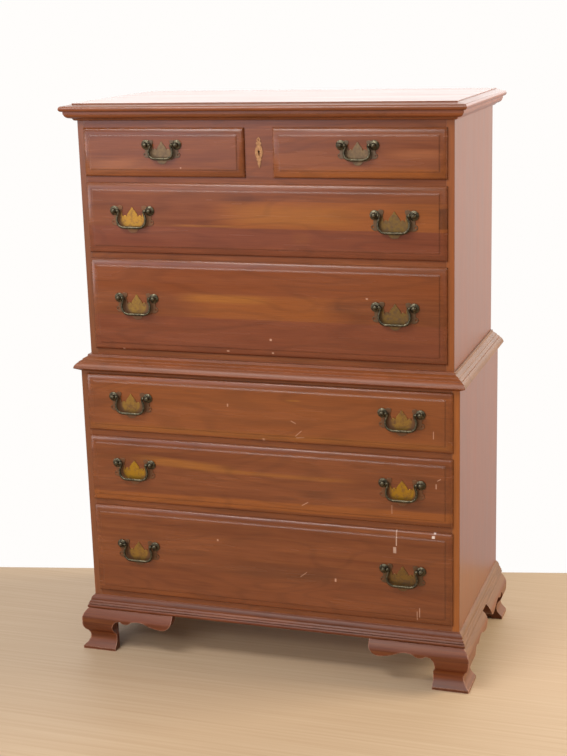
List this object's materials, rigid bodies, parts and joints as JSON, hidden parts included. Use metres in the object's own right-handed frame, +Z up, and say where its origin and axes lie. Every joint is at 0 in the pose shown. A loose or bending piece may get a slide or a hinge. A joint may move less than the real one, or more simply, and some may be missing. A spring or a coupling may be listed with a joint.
{
  "type": "chest on chest",
  "caption": "Tall two-part chest on chest with lipped drawers in both cases, pierced plate pulls with swinging bails, mitred mouldings and scrolled ogee bracket feet",
  "frame": {"origin": "on the floor, under the middle of the whole piece's bounding box", "axes": "+X to the viewer's right facing the drawers, +Y from the drawer fronts to the back, +Z up; drawers open towards -Y"},
  "size_m": [0.9966, 0.5114, 1.37],
  "materials": {
    "top_wood": "varnished cherry, rubbed to a soft gloss",
    "moulding_wood": "varnished cherry moulding",
    "side_wood": "varnished cherry board, grain upright",
    "rail_wood": "varnished cherry, grain along the rail",
    "front_wood": "red-brown varnished cherry, grain across",
    "foot_wood": "varnished cherry, sawn and carved to shape",
    "inner_wood": "bare planed poplar",
    "back_wood": "bare plywood back",
    "plate_brass": "stamped brass, lacquer worn and tarnished",
    "mount_brass": "cast brass posts on stamped brass plates, tarnished",
    "bail_brass": "cast brass, darkened with age"
  },
  "bodies": {
    "case": {"top_board": "top_wood", "cornice_moulding": "moulding_wood", "upper_side_left": "side_wood", "upper_side_right": "side_wood", "upper_rails": "rail_wood", "upper_centre_stile": "rail_wood", "escutcheon": "plate_brass", "upper_web_frames": "inner_wood", "upper_back_panel": "back_wood", "waist_moulding": "moulding_wood", "lower_side_left": "side_wood", "lower_side_right": "side_wood", "lower_rails": "rail_wood", "lower_web_frames": "inner_wood", "lower_back_panel": "back_wood", "base_moulding": "moulding_wood", "front_feet": "foot_wood", "rear_feet": "foot_wood", "dust_panels": "inner_wood"},
    "small_left_drawer": {"small_left_drawer_front": "front_wood", "small_left_drawer_box": "inner_wood", "small_left_drawer_bottom": "inner_wood", "small_left_drawer_pull_mounts": "mount_brass"},
    "small_left_drawer_bail": {"small_left_drawer_bail": "bail_brass"},
    "small_right_drawer": {"small_right_drawer_front": "front_wood", "small_right_drawer_box": "inner_wood", "small_right_drawer_bottom": "inner_wood", "small_right_drawer_pull_mounts": "mount_brass"},
    "small_right_drawer_bail": {"small_right_drawer_bail": "bail_brass"},
    "upper_middle_drawer": {"upper_middle_drawer_front": "front_wood", "upper_middle_drawer_box": "inner_wood", "upper_middle_drawer_bottom": "inner_wood", "upper_middle_drawer_pull_mounts": "mount_brass"},
    "upper_middle_drawer_bail_left": {"upper_middle_drawer_bail_left": "bail_brass"},
    "upper_middle_drawer_bail_right": {"upper_middle_drawer_bail_right": "bail_brass"},
    "upper_bottom_drawer": {"upper_bottom_drawer_front": "front_wood", "upper_bottom_drawer_box": "inner_wood", "upper_bottom_drawer_bottom": "inner_wood", "upper_bottom_drawer_pull_mounts": "mount_brass"},
    "upper_bottom_drawer_bail_left": {"upper_bottom_drawer_bail_left": "bail_brass"},
    "upper_bottom_drawer_bail_right": {"upper_bottom_drawer_bail_right": "bail_brass"},
    "lower_top_drawer": {"lower_top_drawer_front": "front_wood", "lower_top_drawer_box": "inner_wood", "lower_top_drawer_bottom": "inner_wood", "lower_top_drawer_pull_mounts": "mount_brass"},
    "lower_top_drawer_bail_left": {"lower_top_drawer_bail_left": "bail_brass"},
    "lower_top_drawer_bail_right": {"lower_top_drawer_bail_right": "bail_brass"},
    "lower_middle_drawer": {"lower_middle_drawer_front": "front_wood", "lower_middle_drawer_box": "inner_wood", "lower_middle_drawer_bottom": "inner_wood", "lower_middle_drawer_pull_mounts": "mount_brass"},
    "lower_middle_drawer_bail_left": {"lower_middle_drawer_bail_left": "bail_brass"},
    "lower_middle_drawer_bail_right": {"lower_middle_drawer_bail_right": "bail_brass"},
    "lower_bottom_drawer": {"lower_bottom_drawer_front": "front_wood", "lower_bottom_drawer_box": "inner_wood", "lower_bottom_drawer_bottom": "inner_wood", "lower_bottom_drawer_pull_mounts": "mount_brass"},
    "lower_bottom_drawer_bail_left": {"lower_bottom_drawer_bail_left": "bail_brass"},
    "lower_bottom_drawer_bail_right": {"lower_bottom_drawer_bail_right": "bail_brass"}
  },
  "joints": [
    {"name": "small_left_drawer_slide", "type": "slide", "parent": "case", "child": "small_left_drawer", "axis": [0, -1, 0], "range_m": [0, 0.3]},
    {"name": "small_left_drawer_bail_swing", "type": "hinge", "parent": "small_left_drawer", "child": "small_left_drawer_bail", "pos_m": [-0.2355, -0.22085, 1.2745], "axis": [-1, 0, 0], "range_deg": [0, 90]},
    {"name": "small_right_drawer_slide", "type": "slide", "parent": "case", "child": "small_right_drawer", "axis": [0, -1, 0], "range_m": [0, 0.3]},
    {"name": "small_right_drawer_bail_swing", "type": "hinge", "parent": "small_right_drawer", "child": "small_right_drawer_bail", "pos_m": [0.2355, -0.22085, 1.2745], "axis": [-1, 0, 0], "range_deg": [0, 90]},
    {"name": "upper_middle_drawer_slide", "type": "slide", "parent": "case", "child": "upper_middle_drawer", "axis": [0, -1, 0], "range_m": [0, 0.3]},
    {"name": "upper_middle_drawer_bail_left_swing", "type": "hinge", "parent": "upper_middle_drawer", "child": "upper_middle_drawer_bail_left", "pos_m": [-0.318, -0.22085, 1.11975], "axis": [-1, 0, 0], "range_deg": [0, 90]},
    {"name": "upper_middle_drawer_bail_right_swing", "type": "hinge", "parent": "upper_middle_drawer", "child": "upper_middle_drawer_bail_right", "pos_m": [0.318, -0.22085, 1.11975], "axis": [-1, 0, 0], "range_deg": [0, 90]},
    {"name": "upper_bottom_drawer_slide", "type": "slide", "parent": "case", "child": "upper_bottom_drawer", "axis": [0, -1, 0], "range_m": [0, 0.3]},
    {"name": "upper_bottom_drawer_bail_left_swing", "type": "hinge", "parent": "upper_bottom_drawer", "child": "upper_bottom_drawer_bail_left", "pos_m": [-0.318, -0.22085, 0.91025], "axis": [-1, 0, 0], "range_deg": [0, 90]},
    {"name": "upper_bottom_drawer_bail_right_swing", "type": "hinge", "parent": "upper_bottom_drawer", "child": "upper_bottom_drawer_bail_right", "pos_m": [0.318, -0.22085, 0.91025], "axis": [-1, 0, 0], "range_deg": [0, 90]},
    {"name": "lower_top_drawer_slide", "type": "slide", "parent": "case", "child": "lower_top_drawer", "axis": [0, -1, 0], "range_m": [0, 0.32]},
    {"name": "lower_top_drawer_bail_left_swing", "type": "hinge", "parent": "lower_top_drawer", "child": "lower_top_drawer_bail_left", "pos_m": [-0.337, -0.24485, 0.669], "axis": [-1, 0, 0], "range_deg": [0, 90]},
    {"name": "lower_top_drawer_bail_right_swing", "type": "hinge", "parent": "lower_top_drawer", "child": "lower_top_drawer_bail_right", "pos_m": [0.337, -0.24485, 0.669], "axis": [-1, 0, 0], "range_deg": [0, 90]},
    {"name": "lower_middle_drawer_slide", "type": "slide", "parent": "case", "child": "lower_middle_drawer", "axis": [0, -1, 0], "range_m": [0, 0.32]},
    {"name": "lower_middle_drawer_bail_left_swing", "type": "hinge", "parent": "lower_middle_drawer", "child": "lower_middle_drawer_bail_left", "pos_m": [-0.337, -0.24485, 0.5005], "axis": [-1, 0, 0], "range_deg": [0, 90]},
    {"name": "lower_middle_drawer_bail_right_swing", "type": "hinge", "parent": "lower_middle_drawer", "child": "lower_middle_drawer_bail_right", "pos_m": [0.337, -0.24485, 0.5005], "axis": [-1, 0, 0], "range_deg": [0, 90]},
    {"name": "lower_bottom_drawer_slide", "type": "slide", "parent": "case", "child": "lower_bottom_drawer", "axis": [0, -1, 0], "range_m": [0, 0.32]},
    {"name": "lower_bottom_drawer_bail_left_swing", "type": "hinge", "parent": "lower_bottom_drawer", "child": "lower_bottom_drawer_bail_left", "pos_m": [-0.337, -0.24485, 0.2885], "axis": [-1, 0, 0], "range_deg": [0, 90]},
    {"name": "lower_bottom_drawer_bail_right_swing", "type": "hinge", "parent": "lower_bottom_drawer", "child": "lower_bottom_drawer_bail_right", "pos_m": [0.337, -0.24485, 0.2885], "axis": [-1, 0, 0], "range_deg": [0, 90]}
  ]
}
